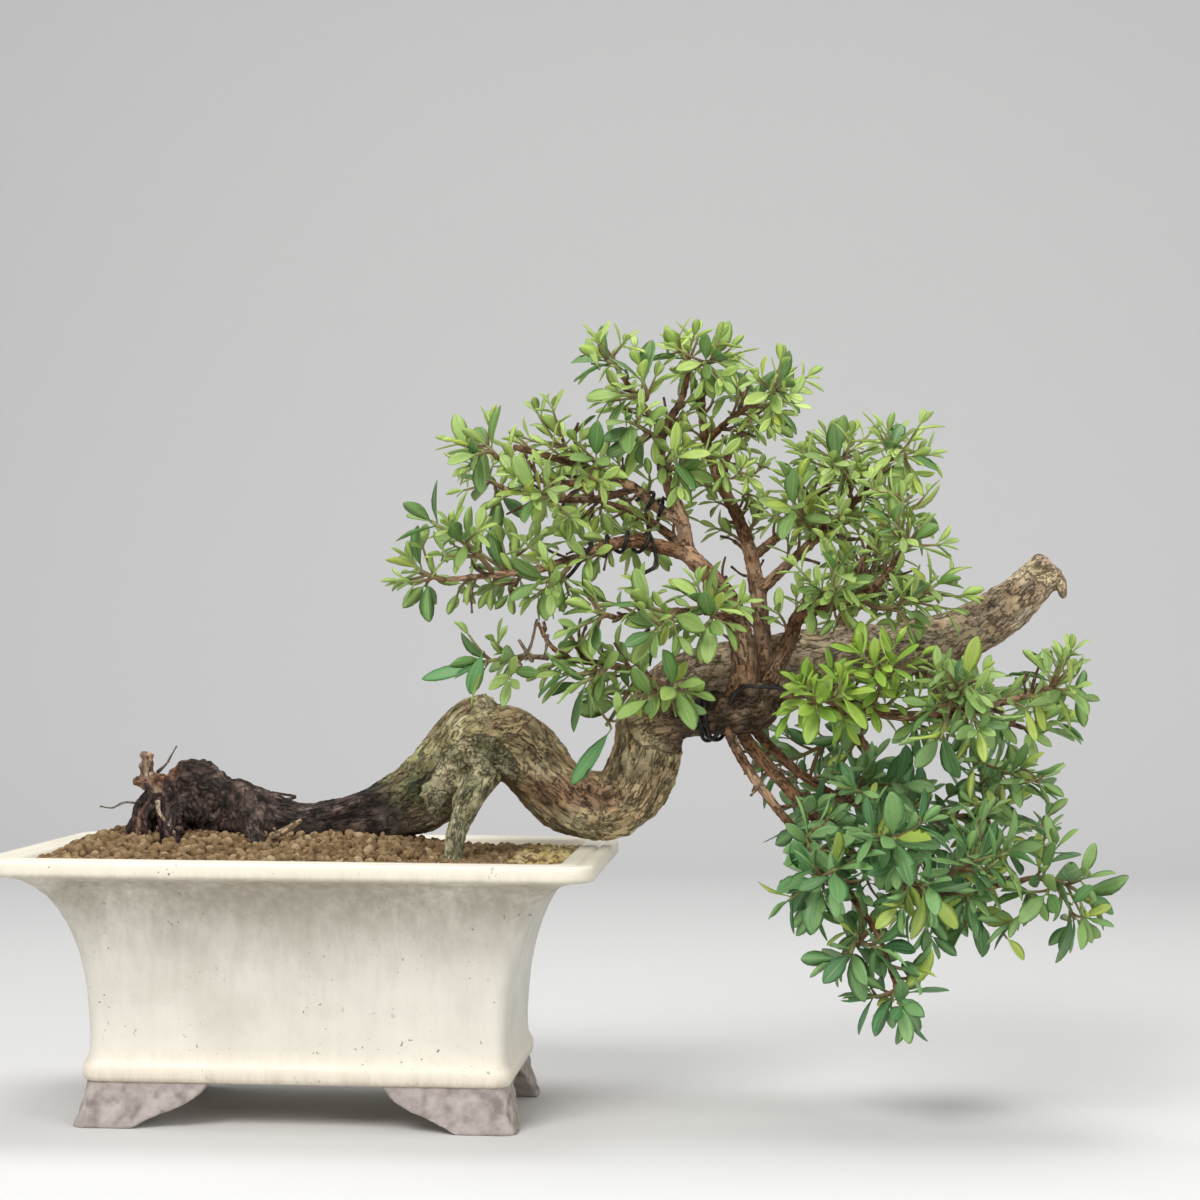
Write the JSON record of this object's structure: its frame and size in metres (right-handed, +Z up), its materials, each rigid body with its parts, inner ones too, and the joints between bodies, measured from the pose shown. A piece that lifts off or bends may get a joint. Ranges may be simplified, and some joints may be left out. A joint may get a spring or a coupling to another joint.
{
  "type": "semi-cascade bonsai",
  "caption": "Semi-cascade Syzygium buxifolium bonsai: a winding bare trunk lies over a cream rectangular footed pot and carries a leaning crown of small glossy leaves.",
  "frame": {"origin": "middle of the whole object's bounding box at table height, under the pot's feet plane", "axes": "+Z up; +X along the pot's long side, from the old stump towards the leaning crown; +Y away from the viewer, to the back of the pot"},
  "size_m": [0.442, 0.1712, 0.3246],
  "materials": {
    "pot_glaze": "satin cream glaze with soil stains, bare grey clay feet",
    "screen_mesh": "black moulded mesh",
    "soil_grains": "moist brown baked-clay granules",
    "bark": "rough tan and grey bark, dark at the old end",
    "training_wire": "black anodised",
    "leaf": "glossy leathery green leaf",
    "young_leaf": "glossy lime-green young leaf"
  },
  "bodies": {
    "root": {"pot": "pot_glaze", "drain_screen_left": "screen_mesh", "drain_screen_right": "screen_mesh", "soil": "soil_grains", "tree": "bark", "arm_wire": "training_wire", "left_wire": "training_wire", "crown_left_wire": "training_wire", "spray_left_1": "leaf", "spray_left_2": "leaf", "spray_left_3": "leaf", "spray_left_4": "leaf", "spray_upper_left_1": "leaf", "spray_upper_left_2": "leaf", "spray_crown_left_1": "leaf", "spray_crown_left_2": "leaf", "spray_upper_left_rear_1": "leaf", "spray_rear_left_1": "leaf", "spray_rear_left_2": "leaf", "spray_crown_tip_left_1": "leaf", "spray_crown_tip_left_2": "leaf", "spray_crown_1": "leaf", "spray_crown_2": "leaf", "spray_crown_3": "leaf", "spray_second_leader_1": "leaf", "spray_crown_tip_right_1": "leaf", "spray_rear_crown_1": "leaf", "spray_upper_right_1": "leaf", "spray_upper_right_2": "leaf", "spray_upper_right_3": "leaf", "spray_rear_right_1": "leaf", "spray_rear_upright_1": "leaf", "spray_rear_upright_2": "leaf", "spray_right_1": "leaf", "spray_right_2": "leaf", "spray_right_3": "leaf", "spray_front_left_1": "leaf", "spray_front_left_2": "leaf", "spray_front_left_3": "leaf", "spray_front_left_4": "leaf", "spray_front_twig_1": "leaf", "spray_front_twig_2": "leaf", "spray_front_twig_3": "leaf", "spray_low_right_1": "leaf", "spray_low_right_2": "leaf", "spray_low_right_3": "young_leaf", "spray_low_right_4": "young_leaf", "spray_rear_low_1": "leaf", "spray_rear_low_2": "leaf", "spray_cascade_mid_1": "leaf", "spray_cascade_mid_2": "leaf", "spray_cascade_mid_3": "leaf", "spray_cascade_front_1": "leaf", "spray_cascade_front_2": "leaf", "spray_cascade_front_3": "leaf", "spray_cascade_back_1": "leaf", "spray_cascade_back_2": "leaf", "spray_rear_cascade_1": "leaf", "spray_rear_cascade_2": "leaf", "spray_rear_cascade_3": "leaf"}
  },
  "joints": []
}
